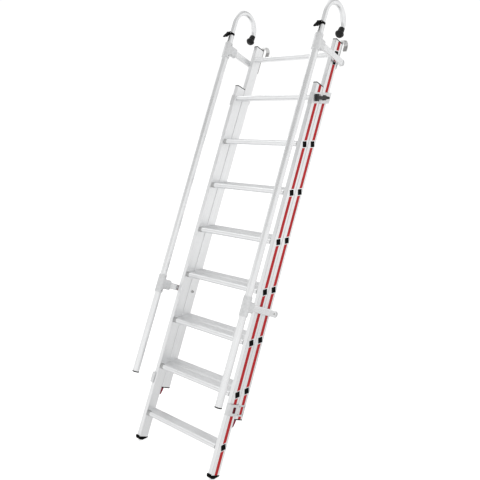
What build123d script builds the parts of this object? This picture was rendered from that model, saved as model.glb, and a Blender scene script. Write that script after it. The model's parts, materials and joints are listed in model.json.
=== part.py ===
from build123d import *
import os
from math import cos, sin, radians

# Hook-on extension ladder: a front (lower) section that stands on the floor, a rear (upper) section that
# slides up behind it and carries two hooks, two handrails and two telescoping hand grips.
# Frame: +Z up, +Y from the climber towards the wall, +X to the climber's right, millimetres.

os.makedirs("parts", exist_ok=True)

# ------------------------------------------------------------------ driving dimensions (mm)
LEAN = 67.4                    # angle of the stiles to the floor
WIDTH = 600.0                  # over the stiles
STILE_T, STILE_D = 26.0, 63.2  # stile section: across the ladder, front to back
STILE_WALL, STILE_R = 2.0, 3.5
SECTION_STEP = 64.6            # from the front face of a front stile to that of the rear stile
PITCH = 270.0                  # tread spacing along the stile
LOWER_END = 2095.5             # front stiles run from 0 to here
UPPER_START, UPPER_END = 288.0, 2376.5
TOP_CAP, BOTTOM_CAP = 5.5, 6.0   # plastic caps on the stile ends
LOWER_TREADS = [141.0 + PITCH * k for k in range(8)]
UPPER_TREADS = [436.0 + PITCH * k for k in range(7)] + [2306.0]
TREAD_N = 35.0                 # tread centre behind the front face of its stile

STRIPE_W, GROOVE = 22.0, 0.5   # stripe in its groove
PLUG_W, PLUG_H, PLUG_R = 33.0, 31.5, 3.5  # plugs, level and upright at the working lean
PLUG_PROUD = 0.3               # plugs stand this far out of the stile
STRIPE_GAP = 21.0              # stripe ends this far along the stile from a plug's centre
TREAD_UP, TREAD_DOWN = 14.0, 13.0
TREAD_BACK = 60.0              # rear face of a tread, parallel to the stile
NOSE_R = 13.5
RIB_PITCH, RIB_W, RIB_H, RIBS = 6.0, 3.4, 1.0, 8
TREAD_WALL = 2.2

SHEET = 2.5                    # guide bracket sheet
RAIL_X, RAIL_N = 326.0, -115.0 # handrail axis
RAIL_OD, RAIL_WALL = 38.0, 2.0
RAIL_START, RAIL_END = 349.5, 2320.0
NECK_START, NECK_END = 2268.0, 2360.0   # narrower neck in the handrail's upper end
ARM_S = [855.0, 2273.0]        # handrail arms along the stile
ARM_X, ARM_W, ARM_H, ARM_BACK = 317.0, 20.0, 36.0, 138.0
ARM_BOLT_N, ARM_SCREW_N = 92.0, 122.0
SLEEVE_R, SLEEVE_DOWN, SLEEVE_UP = 23.0, 52.0, [52.0, 38.0]
LUG_END = -54.0                # rear end of a tee clamp's lug
CANE_OD, CANE_WALL = 30.0, 2.0
CANE_START, CANE_BEND, CANE_R = 1340.0, 2440.0, 85.0
CANE_OVER, CANE_LEG = 14.0, 17.5  # bent this far past a half turn, then straight into the knob
CANE_LEFT_OUT = 11.5          # the left hand grip is drawn out this much further than the right one
COLLAR_H, COLLAR_R = 14.0, 17.2
LEVER_PIN = (-140.0, 2367.0)   # clamp lever pin, behind/along the stile
LEVER_TILT = 57.9              # the lever hangs this far below square to the stile
HOOK_T, HOOK_R, HOOK_TOP = 5.0, 22.5, 2387.5
HOOK_START, HOOK_TIP = 2232.0, 2363.0
HOOK_BOLTS = [2262.0, 2334.0]
BRACKET_UP, BRACKET_DOWN = 22.0, 36.0   # upper bracket edges above and below the top lower tread's centre
LOW_BRACKET_S, LOW_BRACKET_H = 303.0, 59.0

HALF = WIDTH / 2
INNER = HALF - STILE_T
STILE_X = HALF - STILE_T / 2
CT, ST = cos(radians(LEAN)), sin(radians(LEAN))
SLOPE = CT / ST                # a level line climbs this much along the stile per unit front to back

# foot sole: two points of its flat facet set the floor height
SOLE_N0, SOLE_S0, SOLE_N1 = 28.0, -19.0, 56.0
SOLE_S1 = SOLE_S0 + (SOLE_N1 - SOLE_N0) * SLOPE
REF_Y = -540.873               # puts the origin under the middle of the whole ladder
REF_Z = -(SOLE_S0 * ST - SOLE_N0 * CT)

# ------------------------------------------------------------------ frame of the stiles
# n runs front to back square to the stiles, s runs up along them; both start at the front foot corner.
S_DIR = Vector(0, CT, ST)
N_DIR = Vector(0, ST, -CT)


def at(x, n, s):
    return Vector(x, REF_Y + s * CT + n * ST, REF_Z + s * ST - n * CT)


def yz(n, s):
    """level coordinates (back, up) of a point of the stile frame, before the origin shift"""
    return s * CT + n * ST, s * ST - n * CT


def s_at(n, z):
    """how far up the stile the level z lies, at n"""
    return (z + n * CT) / ST


def across(s):
    """section plane square to the stiles: sketch (x, n), normal up the stile"""
    return Plane(origin=at(0, 0, s), x_dir=(1, 0, 0), z_dir=S_DIR)


def side(x):
    """plane of a stile's side: sketch (n, s), normal to the right"""
    return Plane(origin=at(x, 0, 0), x_dir=N_DIR, z_dir=(1, 0, 0))


def face(n):
    """plane of a stile's face: sketch (x, s), normal towards the climber"""
    return Plane(origin=at(0, n, 0), x_dir=(1, 0, 0), z_dir=N_DIR * -1)


def level(x):
    """upright side plane, not leaning: sketch (y, z), normal to the right"""
    return Plane(origin=(x, REF_Y, REF_Z), x_dir=(0, 1, 0), z_dir=(1, 0, 0))


def keep(builder, name):
    builder.part.label = name
    export_step(builder.part, f"parts/{name}.step")


# ------------------------------------------------------------------ shared outlines
def stile_section(n0):
    """box section of a right-hand stile with its front face at n0 and the stripe groove outside"""
    with Locations((STILE_X, n0 + STILE_D / 2)):
        RectangleRounded(STILE_T, STILE_D, STILE_R)
        RectangleRounded(STILE_T - 2 * STILE_WALL, STILE_D - 2 * STILE_WALL, STILE_R - STILE_WALL,
                         mode=Mode.SUBTRACT)
    with Locations((HALF - GROOVE / 2, n0 + TREAD_N)):
        Rectangle(GROOVE, STRIPE_W + 0.4, mode=Mode.SUBTRACT)


def plug_outline(n0, s, trim=0.0):
    """plug of a tread end: an upright rectangle at the working lean"""
    w, h, c = PLUG_W / 2 - trim, PLUG_H / 2 - trim, n0 + TREAD_N
    corners = [(-w, -h), (w, -h), (w, h), (-w, h)]
    Polygon(*[(c + dy * ST - dz * CT, s + dy * CT + dz * ST) for dy, dz in corners], align=None)


def stripe_outline(n0, s0, s1, square_start=False, square_end=False):
    """length of stripe with level ends, or square ones where it runs out at the end of a stile"""
    w, c = STRIPE_W / 2, n0 + TREAD_N
    k0, k1 = 0 if square_start else w * SLOPE, 0 if square_end else w * SLOPE
    Polygon((c - w, s0 - k0), (c + w, s0 + k0), (c + w, s1 + k1), (c - w, s1 - k1), align=None)


def tread_outline(n0, s):
    """tread section in level coordinates: ribbed flat top, rounded nose, rear face along the stile"""
    yc, zc = yz(n0 + TREAD_N, s)
    zn = zc + TREAD_UP - NOSE_R
    yn = (n0 + 17.5 + zn * CT) / ST
    top, bottom = zc + TREAD_UP, zc - TREAD_DOWN

    def back(n, z):
        return (n0 + n + z * CT) / ST

    pts = [(yn, top)]
    for i in range(RIBS):
        y = yn + 1.0 + i * RIB_PITCH
        pts += [(y, top), (y, top - RIB_H), (y + RIB_PITCH - RIB_W, top - RIB_H), (y + RIB_PITCH - RIB_W, top)]
    pts += [(back(TREAD_BACK, top), top), (back(TREAD_BACK, bottom), bottom), (yn, bottom)]
    with Locations((yn, zn)):
        Circle(NOSE_R)
    with Locations((yn + NOSE_R, zn)):
        Rectangle(2 * NOSE_R, 2 * NOSE_R + 2, mode=Mode.SUBTRACT)
    Polygon(*reversed(pts), align=None)
    # two hollow chambers with a web between them
    t = TREAD_WALL
    zi_top, zi_bot, web = top - RIB_H - 2.0, bottom + t, yn + 15.0
    zi, ri = (zi_top + zi_bot) / 2, (zi_top - zi_bot) / 2
    Polygon((yn, zi_bot), (web, zi_bot), (web, zi_top), (yn, zi_top), align=None, mode=Mode.SUBTRACT)
    with Locations((yn, zi)):
        Circle(ri, mode=Mode.SUBTRACT)
    Polygon((web + t, zi_bot), (back(TREAD_BACK - t, zi_bot), zi_bot), (back(TREAD_BACK - t, zi_top), zi_top),
            (web + t, zi_top), align=None, mode=Mode.SUBTRACT)


# top guide bracket and its rivets, placed from the level of the top lower tread
TOP_Z = yz(TREAD_N, LOWER_TREADS[-1])[1]
TOP_RIVETS = [(52.0, s_at(52.0, TOP_Z + 9.0)), (52.0, s_at(52.0, TOP_Z - 23.0))]
LOW_RIVETS = [(76.0, 312.0), (76.0, 353.0), (114.0, 312.0), (114.0, 353.0)]

# ================================================================== lower section
with BuildPart() as lower_stile_right:
    with BuildSketch(across(0)):
        stile_section(0)
    extrude(amount=LOWER_END)
    with BuildSketch(side(HALF)) as plug_holes:
        for s in LOWER_TREADS[:7]:
            plug_outline(0, s)
        fillet(plug_holes.vertices(), PLUG_R)
    extrude(amount=-STILE_WALL - 1, mode=Mode.SUBTRACT)
    with BuildSketch(side(HALF)):
        with Locations(*TOP_RIVETS):
            Circle(2.4)
    extrude(amount=-STILE_WALL - 1, mode=Mode.SUBTRACT)
keep(lower_stile_right, "lower_stile_right")

with BuildPart() as lower_stile_left:
    mirror(lower_stile_right.part, about=Plane.YZ)
keep(lower_stile_left, "lower_stile_left")

for k, s in enumerate(LOWER_TREADS):
    with BuildPart() as lower_tread:
        with BuildSketch(level(-INNER)):
            tread_outline(0, s)
        extrude(amount=2 * INNER)
    keep(lower_tread, f"lower_tread_{k + 1}")

with BuildPart() as lower_tread_plugs:
    with BuildSketch(side(HALF - 6)) as plug_sketch:
        for s in LOWER_TREADS[:7]:
            plug_outline(0, s, 0.1)
        fillet(plug_sketch.vertices(), PLUG_R - 0.1)
    extrude(amount=6 + PLUG_PROUD)
    chamfer(lower_tread_plugs.faces().group_by(Axis.X)[-1].edges(), 0.5)
    mirror(about=Plane.YZ)
keep(lower_tread_plugs, "lower_tread_plugs")

with BuildPart() as lower_stripes:
    with BuildSketch(side(HALF - GROOVE)):
        stripe_outline(0, 0.5, LOWER_TREADS[0] - STRIPE_GAP, square_start=True)
        for s0, s1 in zip(LOWER_TREADS[:6], LOWER_TREADS[1:7]):
            stripe_outline(0, s0 + STRIPE_GAP, s1 - STRIPE_GAP)
        stripe_outline(0, LOWER_TREADS[6] + STRIPE_GAP, LOWER_END - 0.5, square_end=True)
    extrude(amount=GROOVE)
    mirror(about=Plane.YZ)
keep(lower_stripes, "lower_stripes")

# rubber foot: rounded toe in front, flat sole facet level with the floor, spigot up inside the stile
with BuildPart() as lower_foot_right:
    with BuildSketch(side(HALF - STILE_T - 1.0)):
        with BuildLine():
            Polyline((-0.2, 0.0), (-0.2, 3.6), (-3.0, 4.0))
            ThreePointArc((-3.0, 4.0), (-4.9, 3.0), (-5.6, 0.8))
            Line((-5.6, 0.8), (-5.3, -3.4))
            ThreePointArc((-5.3, -3.4), (-0.6, -12.6), (9.0, -17.6))
            Polyline((9.0, -17.6), (SOLE_N0, SOLE_S0), (SOLE_N1, SOLE_S1), (61.6, -4.6), (63.5, -2.0),
                     (63.5, 0.0), (-0.2, 0.0))
        make_face()
    extrude(amount=STILE_T + 2.0)
    fillet(lower_foot_right.faces().filter_by(Axis.X).edges(), 1.2)
    with BuildSketch(across(-1.0)):
        with Locations((STILE_X, STILE_D / 2)):
            RectangleRounded(STILE_T - 2 * STILE_WALL - 0.4, STILE_D - 2 * STILE_WALL - 0.4, 1.2)
    extrude(amount=26)
keep(lower_foot_right, "lower_foot_right")

with BuildPart() as lower_foot_left:
    mirror(lower_foot_right.part, about=Plane.YZ)
keep(lower_foot_left, "lower_foot_left")

with BuildPart() as lower_top_caps:
    with BuildSketch(across(LOWER_END)):
        with Locations((STILE_X, STILE_D / 2)):
            RectangleRounded(STILE_T + 0.6, STILE_D + 0.6, STILE_R + 0.3)
    extrude(amount=TOP_CAP)
    fillet(lower_top_caps.faces().sort_by(Axis((0, 0, 0), S_DIR))[-1].edges(), 1.2)
    with BuildSketch(across(LOWER_END)):
        with Locations((STILE_X, STILE_D / 2)):
            RectangleRounded(STILE_T - 2 * STILE_WALL - 0.4, STILE_D - 2 * STILE_WALL - 0.4, 1.2)
    extrude(amount=-14)
    mirror(about=Plane.YZ)
keep(lower_top_caps, "lower_top_caps")

# upper guide bracket: bent sheet fixed to the front stile, standing off past the rear stile and closing behind it
with BuildPart() as upper_guide_brackets:
    with BuildSketch(across(1960)) as bracket_section:
        with BuildLine():
            x0, x1 = HALF, HALF + 4.5
            Polyline((275, -SHEET), (x0 + SHEET, -SHEET), (x0 + SHEET, 60.5), (x1 + SHEET, 67), (x1 + SHEET, 138.5),
                     (283, 138.5), (283, 136), (x1, 136), (x1, 67.8), (x0, 61.3), (x0, 0), (275, 0), close=True)
        make_face()
        fillet(bracket_section.vertices().filter_by_position(Axis.X, HALF + 2, HALF + 8), 1.8)
    extrude(amount=170)
    split(bisect_by=Plane.XY.offset(REF_Z + TOP_Z + BRACKET_UP), keep=Keep.BOTTOM)
    split(bisect_by=Plane.XY.offset(REF_Z + TOP_Z - BRACKET_DOWN), keep=Keep.TOP)
    with BuildSketch(side(HALF - 1)):
        with Locations(*TOP_RIVETS):
            Circle(2.4)
    extrude(amount=5, mode=Mode.SUBTRACT)
    mirror(about=Plane.YZ)
keep(upper_guide_brackets, "upper_guide_brackets")

with BuildPart() as upper_bracket_rivets:
    with BuildSketch(side(HALF + SHEET)):
        with Locations(*TOP_RIVETS):
            Circle(4.8)
    extrude(amount=2.0)
    fillet(upper_bracket_rivets.faces().group_by(Axis.X)[-1].edges(), 1.4)
    with BuildSketch(side(HALF + SHEET)):
        with Locations(*TOP_RIVETS):
            Circle(2.4)
    extrude(amount=-8.0)
    mirror(about=Plane.YZ)
keep(upper_bracket_rivets, "upper_bracket_rivets")

with BuildPart() as upper_bracket_pads:
    with BuildSketch(across(2038)):
        with Locations((292, 132.2)):
            RectangleRounded(16, 7.6, 2)
    extrude(amount=48)
    mirror(about=Plane.YZ)
keep(upper_bracket_pads, "upper_bracket_pads")

# lock on the right bracket: block with a level slot, upright pin, lever lying level along the ladder's side
LOCK_Z = TOP_Z - 6.0
LOCK_Y = (791.0, 811.0)
LOCK_PIN = (310.0, 803.0)
with BuildPart() as lock_block:
    with BuildSketch(level(HALF + SHEET)):
        with Locations(((LOCK_Y[0] + LOCK_Y[1]) / 2, LOCK_Z)):
            RectangleRounded(LOCK_Y[1] - LOCK_Y[0], 38, 4)
    extrude(amount=13.0)
    fillet(lock_block.faces().sort_by(Axis.X)[-1].edges(), 2.0)
    with BuildSketch(level(303.5)):
        with Locations((803.5, LOCK_Z)):
            Rectangle(18, 17.2)
    extrude(amount=20, mode=Mode.SUBTRACT)
    with BuildSketch(Plane.XY.offset(REF_Z + LOCK_Z - 16.5)):
        with Locations((LOCK_PIN[0], LOCK_PIN[1] + REF_Y)):
            Circle(2.5)
    extrude(amount=33, mode=Mode.SUBTRACT)
keep(lock_block, "lock_block")

with BuildPart() as lock_pin:
    with BuildSketch(Plane.XY.offset(REF_Z + LOCK_Z - 16.5)):
        with Locations((LOCK_PIN[0], LOCK_PIN[1] + REF_Y)):
            Circle(2.5)
    extrude(amount=33)
keep(lock_pin, "lock_pin")

with BuildPart() as lock_lever:
    with BuildSketch(level(308.5)) as lever_outline:
        with BuildLine():
            up = [(803, 8), (848, 8), (855, 14), (866, 14), (874, 8.5), (897, 6.6), (903.5, 3.4)]
            Polyline(*[(y, LOCK_Z + z) for y, z in up], *[(y, LOCK_Z - z) for y, z in reversed(up)], close=True)
        make_face()
        fillet(lever_outline.vertices().filter_by_position(Axis.X, 840, 900), 2.2)
    extrude(amount=8.5)
    fillet(lock_lever.faces().sort_by(Axis.X)[-1].edges().filter_by_position(
        Axis.Y, REF_Y + 804, REF_Y + 910), 1.2)
    with BuildSketch(Plane.XY.offset(REF_Z + LOCK_Z - 8)):
        with Locations((LOCK_PIN[0], LOCK_PIN[1] + REF_Y)):
            Circle(6)
    extrude(amount=16)
    with BuildSketch(Plane.XY.offset(REF_Z + LOCK_Z - 9)):
        with Locations((LOCK_PIN[0], LOCK_PIN[1] + REF_Y)):
            Circle(2.55)
    extrude(amount=18, mode=Mode.SUBTRACT)
keep(lock_lever, "lock_lever")

# ================================================================== upper section
with BuildPart() as upper_stile_right:
    with BuildSketch(across(UPPER_START)):
        stile_section(SECTION_STEP)
    extrude(amount=UPPER_END - UPPER_START)
    with BuildSketch(side(HALF)) as plug_holes:
        for s in UPPER_TREADS:
            plug_outline(SECTION_STEP, s)
        fillet(plug_holes.vertices(), PLUG_R)
    extrude(amount=-STILE_WALL - 1, mode=Mode.SUBTRACT)
    with BuildSketch(side(HALF)):
        with Locations(*LOW_RIVETS):
            Circle(2.4)
    extrude(amount=-STILE_WALL - 1, mode=Mode.SUBTRACT)
    with BuildSketch(side(HALF + 1)):
        with Locations((ARM_BOLT_N, ARM_S[0])):
            Circle(5)
    extrude(amount=-STILE_T - 2, mode=Mode.SUBTRACT)
    with BuildSketch(side(HALF + 1)):
        with Locations((ARM_BOLT_N, ARM_S[1])):
            Circle(5)
    extrude(amount=-STILE_WALL - 2, mode=Mode.SUBTRACT)
    with BuildSketch(face(SECTION_STEP + STILE_D + 1)):
        with Locations(*[(STILE_X, s) for s in HOOK_BOLTS]):
            Circle(4)
    extrude(amount=STILE_WALL + 2, mode=Mode.SUBTRACT)
keep(upper_stile_right, "upper_stile_right")

with BuildPart() as upper_stile_left:
    mirror(upper_stile_right.part, about=Plane.YZ)
keep(upper_stile_left, "upper_stile_left")

for k, s in enumerate(UPPER_TREADS):
    with BuildPart() as upper_tread:
        with BuildSketch(level(-INNER)):
            tread_outline(SECTION_STEP, s)
        extrude(amount=2 * INNER)
    keep(upper_tread, f"upper_tread_{k + 1}")

with BuildPart() as upper_tread_plugs:
    with BuildSketch(side(HALF - 6)) as plug_sketch:
        for s in UPPER_TREADS:
            plug_outline(SECTION_STEP, s, 0.1)
        fillet(plug_sketch.vertices(), PLUG_R - 0.1)
    extrude(amount=6 + PLUG_PROUD)
    chamfer(upper_tread_plugs.faces().group_by(Axis.X)[-1].edges(), 0.5)
    # short black stop at the end of the stripe, under the upper handrail arm
    with BuildSketch(side(HALF - GROOVE)):
        stripe_outline(SECTION_STEP, ARM_S[1] - 27.5, ARM_S[1] - 13.0)
    extrude(amount=GROOVE)
    mirror(about=Plane.YZ)
keep(upper_tread_plugs, "upper_tread_plugs")

with BuildPart() as upper_stripes:
    with BuildSketch(side(HALF - GROOVE)):
        # lengths between the plugs, interrupted under the handrail arms
        stripe_outline(SECTION_STEP, UPPER_START + 0.5, UPPER_TREADS[0] - STRIPE_GAP, square_start=True)
        ends = UPPER_TREADS[:7] + [ARM_S[1] - 7.5]
        for s0, s1 in zip(ends[:-1], ends[1:]):
            if s0 < ARM_S[0] < s1:
                stripe_outline(SECTION_STEP, s0 + STRIPE_GAP, ARM_S[0] - 14.0)
                stripe_outline(SECTION_STEP, ARM_S[0] + 14.0, s1 - STRIPE_GAP)
            else:
                stripe_outline(SECTION_STEP, s0 + STRIPE_GAP, s1 - STRIPE_GAP)
        stripe_outline(SECTION_STEP, UPPER_TREADS[-1] + STRIPE_GAP, UPPER_END - 0.5, square_end=True)
    extrude(amount=GROOVE)
    mirror(about=Plane.YZ)
keep(upper_stripes, "upper_stripes")

UPPER_MID = SECTION_STEP + STILE_D / 2
with BuildPart() as upper_top_caps:
    with BuildSketch(across(UPPER_END)):
        with Locations((STILE_X, UPPER_MID)):
            RectangleRounded(STILE_T + 0.6, STILE_D, STILE_R)
    extrude(amount=TOP_CAP)
    fillet(upper_top_caps.faces().sort_by(Axis((0, 0, 0), S_DIR))[-1].edges(), 1.2)
    with BuildSketch(across(UPPER_END)):
        with Locations((STILE_X, UPPER_MID)):
            RectangleRounded(STILE_T - 2 * STILE_WALL - 0.4, STILE_D - 2 * STILE_WALL - 0.4, 1.2)
    extrude(amount=-14)
    mirror(about=Plane.YZ)
keep(upper_top_caps, "upper_top_caps")

with BuildPart() as upper_bottom_caps:
    with BuildSketch(across(UPPER_START)):
        with Locations((STILE_X, UPPER_MID)):
            RectangleRounded(STILE_T + 0.6, STILE_D, STILE_R)
    extrude(amount=-BOTTOM_CAP)
    fillet(upper_bottom_caps.faces().sort_by(Axis((0, 0, 0), S_DIR))[0].edges(), 1.5)
    with BuildSketch(across(UPPER_START)):
        with Locations((STILE_X, UPPER_MID)):
            RectangleRounded(STILE_T - 2 * STILE_WALL - 0.4, STILE_D - 2 * STILE_WALL - 0.4, 1.2)
    extrude(amount=14)
    mirror(about=Plane.YZ)
keep(upper_bottom_caps, "upper_bottom_caps")

# pointed glide tongues under the rear stiles, riding just behind the front stiles
with BuildPart() as glide_tongues:
    with BuildSketch(side(STILE_X - 10)) as tongue_outline:
        with BuildLine():
            b = UPPER_START - BOTTOM_CAP
            Polyline((63.7, b), (82.0, b), (80.2, b - 15), (74.0, b - 34), (69.5, b - 39), (63.7, b - 39), close=True)
        make_face()
        fillet(tongue_outline.vertices().filter_by_position(Axis.Y, b - 40, b - 30), 1.7)
    extrude(amount=20)
    mirror(about=Plane.YZ)
keep(glide_tongues, "glide_tongues")

# lower guide bracket: bent sheet fixed to the rear stile, standing off past the front stile and closing in front
# with a hemmed edge
LOW_WINDOW_N = 32.0
with BuildPart() as lower_guide_brackets:
    with BuildSketch(across(LOW_BRACKET_S)) as bracket_section:
        with BuildLine():
            x0, x1 = HALF, HALF + 6
            Polyline((x0, 121), (x0 + SHEET, 121), (x0 + SHEET, 67.8), (x1 + SHEET, 60.3), (x1 + SHEET, -6.8),
                     (285, -6.8), (285, -0.9), (x1, -0.9), (x1, 59.5), (x0, 67), close=True)
        make_face()
        fillet(bracket_section.vertices().filter_by_position(Axis.X, HALF + 5, HALF + 9), 1.8)
    extrude(amount=LOW_BRACKET_H)
    with BuildSketch(side(HALF - 1)):
        with Locations((LOW_WINDOW_N, LOW_BRACKET_S + LOW_BRACKET_H / 2)):
            RectangleRounded(22, 32, 4)
        with Locations((94, LOW_BRACKET_S + LOW_BRACKET_H / 2)):
            RectangleRounded(23, 42, 4)
        with Locations(*LOW_RIVETS):
            Circle(2.4)
    extrude(amount=12, mode=Mode.SUBTRACT)
    mirror(about=Plane.YZ)
keep(lower_guide_brackets, "lower_guide_brackets")

with BuildPart() as lower_bracket_rivets:
    with BuildSketch(side(HALF + SHEET)):
        with Locations(*LOW_RIVETS):
            Circle(4.2)
    extrude(amount=1.8)
    fillet(lower_bracket_rivets.faces().group_by(Axis.X)[-1].edges(), 1.3)
    with BuildSketch(side(HALF + SHEET)):
        with Locations(*LOW_RIVETS):
            Circle(2.4)
    extrude(amount=-8.0)
    mirror(about=Plane.YZ)
keep(lower_bracket_rivets, "lower_bracket_rivets")

# glide pads inside those brackets, cupped behind the front window
with BuildPart() as lower_bracket_glides:
    with BuildSketch(side(HALF + 0.7)):
        with Locations((LOW_WINDOW_N, LOW_BRACKET_S + LOW_BRACKET_H / 2)):
            RectangleRounded(34, 46, 5)
    extrude(amount=5.3)
    with BuildSketch(side(HALF + 6)):
        with Locations((LOW_WINDOW_N, LOW_BRACKET_S + LOW_BRACKET_H / 2)):
            RectangleRounded(23, 33, 4.4)
    extrude(amount=-3.2, mode=Mode.SUBTRACT)
    mirror(about=Plane.YZ)
keep(lower_bracket_glides, "lower_bracket_glides")

# hook of flat bar, bolted to the back of the rear stile, with a half-round seat for the hanging tube
HOOK_N = SECTION_STEP + STILE_D
with BuildPart() as hook_right:
    with BuildSketch(side(HALF - STILE_T)) as hook_outline:
        n0, n1 = HOOK_N, HOOK_N + HOOK_T
        c = n1 + HOOK_R
        n2, n3 = c + HOOK_R, c + HOOK_R + HOOK_T
        with BuildLine():
            Polyline((n0, HOOK_TOP), (n0, HOOK_START), (n1, HOOK_START), (n1, HOOK_TOP))
            ThreePointArc((n1, HOOK_TOP), (c, HOOK_TOP + HOOK_R), (n2, HOOK_TOP))
            Polyline((n2, HOOK_TOP), (n2, HOOK_TIP), (n3, HOOK_TIP), (n3, HOOK_TOP))
            ThreePointArc((n3, HOOK_TOP), (c, HOOK_TOP + HOOK_R + HOOK_T), (n0, HOOK_TOP))
        make_face()
    extrude(amount=STILE_T)
    fillet(hook_right.edges().filter_by(Axis((0, 0, 0), N_DIR)), 5)
    with BuildSketch(face(HOOK_N + HOOK_T + 1)):
        with Locations(*[(STILE_X, s) for s in HOOK_BOLTS]):
            Circle(4)
    extrude(amount=HOOK_T + 2, mode=Mode.SUBTRACT)
keep(hook_right, "hook_right")

with BuildPart() as hook_left:
    mirror(hook_right.part, about=Plane.YZ)
keep(hook_left, "hook_left")

with BuildPart() as hook_bolts:
    with BuildSketch(face(HOOK_N + HOOK_T)):
        with Locations(*[(STILE_X, s) for s in HOOK_BOLTS]):
            RegularPolygon(radius=7.5, side_count=6)
    extrude(amount=-5.3)
    chamfer(hook_bolts.faces().group_by(Axis((0, 0, 0), N_DIR))[-1].edges(), 0.6)
    with BuildSketch(face(HOOK_N + HOOK_T)):
        with Locations(*[(STILE_X, s) for s in HOOK_BOLTS]):
            Circle(4)
    extrude(amount=16)
    with BuildSketch(face(HOOK_N - STILE_WALL)):
        with Locations(*[(STILE_X, s) for s in HOOK_BOLTS]):
            RegularPolygon(radius=7.5, side_count=6)
    extrude(amount=6.5)
    mirror(about=Plane.YZ)
keep(hook_bolts, "hook_bolts")

# ------------------------------------------------------------------ handrails
with BuildPart() as handrail_arms:
    for s in ARM_S:
        with BuildSketch(face(ARM_BACK)):
            with Locations((ARM_X, s)):
                RectangleRounded(ARM_W, ARM_H, 5)
                RectangleRounded(ARM_W - 4, ARM_H - 4, 3.2, mode=Mode.SUBTRACT)
        extrude(amount=ARM_BACK - LUG_END + 10)
        with BuildSketch(side(ARM_X - ARM_W / 2 - 1)):
            with Locations((ARM_BOLT_N, s)):
                Circle(5)
        extrude(amount=4, mode=Mode.SUBTRACT)
    with BuildSketch(side(ARM_X + ARM_W / 2 + 1)):
        with Locations((ARM_SCREW_N, ARM_S[0])):
            Circle(2.5)
    extrude(amount=-4, mode=Mode.SUBTRACT)
    mirror(about=Plane.YZ)
keep(handrail_arms, "handrail_arms")

# half-round end caps that close the arms behind the ladder
with BuildPart() as arm_end_caps:
    with BuildSketch(side(ARM_X - ARM_W / 2 - 0.3)):
        for s in ARM_S:
            with Locations((ARM_BACK, s)):
                Circle(ARM_H / 2 + 0.3)
            with Locations((ARM_BACK - ARM_H / 2, s)):
                Rectangle(ARM_H, ARM_H + 2, mode=Mode.SUBTRACT)
    extrude(amount=ARM_W + 0.6)
    fillet(arm_end_caps.edges().filter_by(GeomType.CIRCLE), 4)
    for s in ARM_S:
        with BuildSketch(face(ARM_BACK)):
            with Locations((ARM_X, s)):
                RectangleRounded(ARM_W - 4.4, ARM_H - 4.4, 3)
        extrude(amount=9)
    mirror(about=Plane.YZ)
keep(arm_end_caps, "arm_end_caps")

# spacers between arm and rear stile
with BuildPart() as arm_spacers:
    with BuildSketch(side(HALF)):
        with Locations((ARM_BOLT_N, ARM_S[0])):
            Circle(10)
            Circle(5, mode=Mode.SUBTRACT)
        with Locations((SECTION_STEP + STILE_D / 2, ARM_S[1])):
            RectangleRounded(STILE_D - 1.0, ARM_H - 16.0, 4)
        with Locations((ARM_BOLT_N, ARM_S[1])):
            Circle(5, mode=Mode.SUBTRACT)
    extrude(amount=ARM_X - ARM_W / 2 - HALF)
    mirror(about=Plane.YZ)
keep(arm_spacers, "arm_spacers")

# small pads that keep the lower arms off the front stiles' front corners
with BuildPart() as arm_glide_pads:
    with BuildSketch(side(HALF + 0.7)):
        with Locations((-3.0, ARM_S[0])):
            RectangleRounded(9, 10, 2.5)
    extrude(amount=ARM_X - ARM_W / 2 - HALF - 0.7)
    mirror(about=Plane.YZ)
keep(arm_glide_pads, "arm_glide_pads")

with BuildPart() as handrail_fasteners:
    # lower arms, through bolts: socket head and washer inside the ladder, nut inside the arm
    with BuildSketch(side(INNER - 8.0)):
        with Locations((ARM_BOLT_N, ARM_S[0])):
            Circle(6.5)
    extrude(amount=6.5)
    chamfer(handrail_fasteners.faces().group_by(Axis.X)[0].edges(), 0.8)
    with BuildSketch(side(INNER - 8.0)):
        with Locations((ARM_BOLT_N, ARM_S[0])):
            RegularPolygon(radius=4.6, side_count=6)
    extrude(amount=4.0, mode=Mode.SUBTRACT)
    with BuildSketch(side(INNER - 1.6)):
        with Locations((ARM_BOLT_N, ARM_S[0])):
            Circle(8.5)
    extrude(amount=1.6)
    with BuildSketch(side(INNER)):
        with Locations((ARM_BOLT_N, ARM_S[0])):
            Circle(5)
    extrude(amount=44)
    # upper arms: bolts that end in nuts inside the stiles
    with BuildSketch(side(HALF - STILE_WALL - 8)):
        with Locations((ARM_BOLT_N, ARM_S[1])):
            Circle(5)
    extrude(amount=28)
    with BuildSketch(side(HALF - STILE_WALL - 7)):
        with Locations((ARM_BOLT_N, ARM_S[1])):
            RegularPolygon(radius=9.2, side_count=6)
    extrude(amount=7)
    with BuildSketch(side(ARM_X - ARM_W / 2 + 2)):
        with Locations(*[(ARM_BOLT_N, s) for s in ARM_S]):
            RegularPolygon(radius=9.2, side_count=6)
    extrude(amount=7)
    # button screws on the lower arms' outer faces
    with BuildSketch(side(ARM_X + ARM_W / 2)):
        with Locations((ARM_SCREW_N, ARM_S[0])):
            Circle(5.5)
    extrude(amount=3, taper=20)
    with BuildSketch(side(ARM_X + ARM_W / 2)):
        with Locations((ARM_SCREW_N, ARM_S[0])):
            Circle(2.5)
    extrude(amount=-7)
    # grub screws in the tee clamps, facing the ladder
    for s, up in zip(ARM_S, SLEEVE_UP):
        with BuildSketch(side(RAIL_X - SLEEVE_R)):
            with Locations((RAIL_N, s + up - 13), (RAIL_N, s - SLEEVE_DOWN + 13)):
                Circle(4)
                RegularPolygon(radius=2.3, side_count=6, mode=Mode.SUBTRACT)
        extrude(amount=SLEEVE_R - RAIL_OD / 2)
    mirror(about=Plane.YZ)
keep(handrail_fasteners, "handrail_fasteners")

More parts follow.
